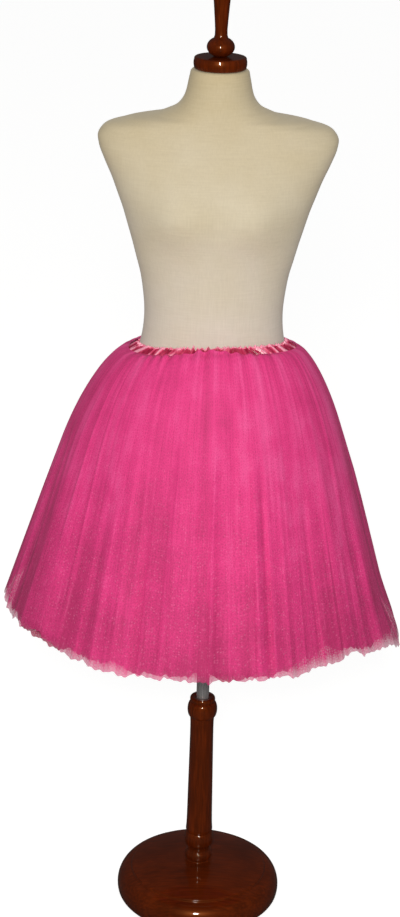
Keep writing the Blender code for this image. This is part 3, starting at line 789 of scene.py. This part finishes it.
def pleats_and_gathers(angle, share, fallen, layer):
    """How far a layer's folds move it along its normal, and how high on them it lies, which the
    material turns into painted shade in the valleys and painted light on the crests.

    The folds are of four sizes: rounded pleats, 1.1 - 1.7 |n|^0.8 of an uneven wave n, which
    open as the cloth falls; narrow gathers and a fine ripple, which start just below the
    band; and broad waves towards the hem. The outer layer has the placed folds on top.
    """
    seed = 10 * layer
    circle = angle[:1]
    open_up = smooth(fallen / FOLDS["open_by"])
    broad = blend_down(circle, share, (13, 34, seed + 1), (16, 40, seed + 2))
    crest = 1.1 - 1.7 * np.abs(broad) ** 0.8
    narrow = blend_down(circle, share, (60, 118, seed + 3), (50, 100, seed + 4))
    fine = blend_down(circle, share, (130, 210, seed + 5), (120, 190, seed + 6))
    sweep = soft_noise(circle, 8, 15, seed + 7)
    move = FOLDS["pleat"] * open_up * crest + FOLDS["gather"] * narrow * smooth(fallen / 0.006)
    move = move + FOLDS["ripple"] * fine * smooth(fallen / 0.02)
    move = move + FOLDS["wave"] * sweep * smooth(fallen / 0.40)
    if layer == 0:
        move = move + FOLDS["placed"] * main_folds(angle, share) + FOLDS["outer_lift"]
    place = 0.5 * crest + 0.12 * narrow
    return move, 0.5 + place * (0.35 + 0.65 * open_up)


def puff_at_band(angle, drop, cover):
    """How high the loose gathers rise where they cover the band's lower edge: most at the
    front, some at the back, and gone 30 mm further down."""
    rise = 0.0008 + 0.0070 * bump_at(angle, 268, 45) + 0.0025 * bump_at(angle, 90, 50)
    rise = rise * (1 + 0.22 * soft_noise(angle[:1], 24, 60, 5))
    down = np.maximum(drop - 0.001, 0) / 0.012
    return rise * smooth((drop + cover) / 0.0035) * np.exp(-down ** 2)


def make_tulle(name, layer, columns, rows, cut):
    """One gathered layer: the skirt line, set in by the layer's pitch and moved along its
    normal by the folds. Its rows lie closer together near the band, as share^1.8."""
    outer = layer == 0
    angle = np.arange(columns) * TAU / columns
    share = np.linspace(0, 1, rows) ** 1.8
    angle, share = np.meshgrid(angle, share)
    full = band_line(angle, 1.0)[1] - around("hem_height", angle) - LAYER_SHORTER[layer]
    hem, hem_scale = (OUTER_HEM, 1.0) if outer else (INNER_HEM, 1.1)
    full = full + hem_length(angle + 0.13 * layer, hem) * hem_scale
    over = TULLE_OVER_BAND + TULLE_OVER_FRONT * bump_at(angle, 269, 15)
    cover = over if outer else -0.0003
    drop = share * (full + cover) - cover
    offset, height = skirt_line(angle, drop)
    step = 0.0004
    ahead = skirt_line(angle, drop + step)
    run, fall = ahead[0] - offset, ahead[1] - height
    size = np.hypot(run, fall)
    out, up = -fall / size, run / size
    fallen = np.maximum(drop, 0)
    move, fold_shade = pleats_and_gathers(angle, share, fallen, layer)
    pitch = PITCH_AT_BAND + (PITCH_AT_HEM - PITCH_AT_BAND) * smooth(drop / PITCH_GROWTH)
    move = move - layer * pitch
    lean = soft_noise(angle[:1], 22, 50, 10 * layer + 8)
    lean = FOLDS["lean"] * lean * smooth(fallen / FOLDS["open_by"])
    puff = puff_at_band(angle, drop, cover) if outer else 0.0
    points = lay_out(angle, offset + move * out, height + move * up + puff, lean)
    u = np.linspace(0, cut[0], columns + 1)
    down = np.concatenate([share * cut[1], share[:, :1] * cut[1]], 1)
    uv = np.stack([np.broadcast_to(u, down.shape), down], -1)
    return surface(name, points, uv, fold_shade=fold_shade)


# ---- scene --------------------------------------------------------------------------
def dress(item, material, body, node):
    """Finishes a piece: its material, the body it rides and the node it replaces."""
    item.data.materials.append(material)
    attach(item, body)
    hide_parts(node)
    return item


def make_camera():
    """An 81 mm lens on a 36 mm frame, 3.4 m away and 2.2 m up, rolled by 1.5 degrees."""
    camera = bpy.data.objects.new("Camera", bpy.data.cameras.new("Camera"))
    bpy.context.scene.collection.objects.link(camera)
    camera.data.sensor_width = 36.0
    camera.data.lens = 81.4411
    tilt = Euler((math.radians(90 - 21.05), 0, 0)).to_matrix().to_4x4()
    roll = Matrix.Rotation(math.radians(1.5), 4, "Z")
    camera.matrix_world = Matrix.Translation((-0.0165, -3.42, 2.2)) @ tilt @ roll
    bpy.context.scene.camera = camera


def make_lamp(name, kind, watts, colour):
    light = bpy.data.lights.new(name, kind)
    light.energy = watts
    light.color = linear(colour)[:3]
    lamp = bpy.data.objects.new(name, light)
    bpy.context.scene.collection.objects.link(lamp)
    return lamp


def make_sun(name, azimuth, elevation, strength):
    """A soft distant light that comes from that azimuth (0 is the front) and elevation."""
    lamp = make_lamp(name, "SUN", strength, "#ffffff")
    lamp.data.angle = math.radians(20)
    lamp.rotation_euler = Euler((math.radians(90 - elevation), 0, math.radians(azimuth)))
    lamp.visible_glossy = False


def make_softbox(name, place, aim, size, watts, colour):
    """A square lamp at that place, turned to face the aim."""
    lamp = make_lamp(name, "AREA", watts, colour)
    lamp.data.size = size
    lamp.location = place
    lamp.rotation_euler = (Vector(aim) - Vector(place)).to_track_quat("-Z", "Y").to_euler()


def make_floor():
    """A wide pale floor. Like the room, it is dimmer to glossy surfaces than to the eye, so
    that the lacquer keeps its dark colour on white."""
    reach = 30.0
    mesh = bpy.data.meshes.new("Floor")
    mesh.from_pydata([(-reach, -reach, 0), (reach, -reach, 0), (reach, reach, 0),
                      (-reach, reach, 0)], [], [(0, 1, 2, 3)])
    floor = add_object("Floor", mesh)
    material, tree, shader = new_material("Matte white paper floor")
    ray = add(tree, "LightPath")
    paper = add(tree, "ValToRGB", Fac=ray.outputs["Is Glossy Ray"],
                stops=[(0.0, "#b9b9b8"), (1.0, "#3c3a38")])
    glow = add(tree, "MapRange", Value=ray.outputs["Is Camera Ray"], To_Max=0.78)
    plug(tree, shader, Roughness=0.9, Base_Color=paper.outputs["Color"],
         Emission_Color=linear("#ffffff"), Emission_Strength=glow.outputs["Result"])
    mesh.materials.append(material)


def make_room():
    """An even white room all round, brightest where it is seen directly."""
    world = bpy.data.worlds.new("Soft room")
    world.use_nodes = True
    room = world.node_tree
    ray = add(room, "LightPath")
    light = add(room, "MapRange", Value=ray.outputs["Is Glossy Ray"], To_Min=0.30, To_Max=0.04)
    bright = lay_patterns(room, light.outputs["Result"], [(ray.outputs["Is Camera Ray"], 0.70)])
    plug(room, room.nodes["Background"], Color=(1, 1, 1, 1), Strength=bright)
    bpy.context.scene.world = world


make_floor()
make_room()
make_softbox("Key", (-0.10, -3.40, 2.45), (0, 0, 1.00), 0.40, 94, "#fffaf4")
make_sun("Fill left", -80, 40, 0.08)
make_sun("Fill right", 85, 40, 0.06)
make_sun("Back", 175, 35, 0.5)
make_camera()

lacquer = lacquer_material("Lacquered mahogany-stained wood", "z")
flat_grain = lacquer_material("Lacquered mahogany-stained disc", "x")
dress(make_base(), flat_grain, "stand", "base")
dress(make_column(), lacquer, "stand", "column")
dress(make_pole(), chrome_material(), "pole", "pole")
dress(make_form(), linen_material(), "form", "dress_form")
dress(make_cap(), lacquer, "form", "neck_cap")
dress(make_finial(), lacquer, "form", "finial")

band = dress(make_band(), satin_material(), "form", "waistband")

TULLE_PINKS = ("#c1336e", "#e83f88", "#f968a9")
# painted shade: the middle and inner layers have deeper pinks than the outer one, for the shade
# under the layers over them
SHADED_INNER_PINKS = ("#b0305a", "#cf3a72", "#e0528c")
LAYERS = [    # piece, node, columns, rows, cut, pinks, cover over the skirt and at its edge
    ("net_outer", "tulle_outer", 1000, 98, (1.80, 0.52), TULLE_PINKS, (0.94, 0.66)),
    ("net_middle", "tulle_middle", 800, 60, (1.70, 0.51), SHADED_INNER_PINKS, (0.97, 0.85)),
    ("net_inner", "tulle_inner", 720, 56, (1.60, 0.50), SHADED_INNER_PINKS, (0.97, 0.90)),
]
for order, (name, node, columns, rows, cut, pinks, cover) in enumerate(LAYERS):
    net = make_tulle(name, order, columns, rows, cut)
    finish = tulle_material("Pink tulle " + name[4:], pinks, cover, cut[1])
    dress(net, finish, "form", node)

bpy.context.scene.view_settings.view_transform = "Standard"
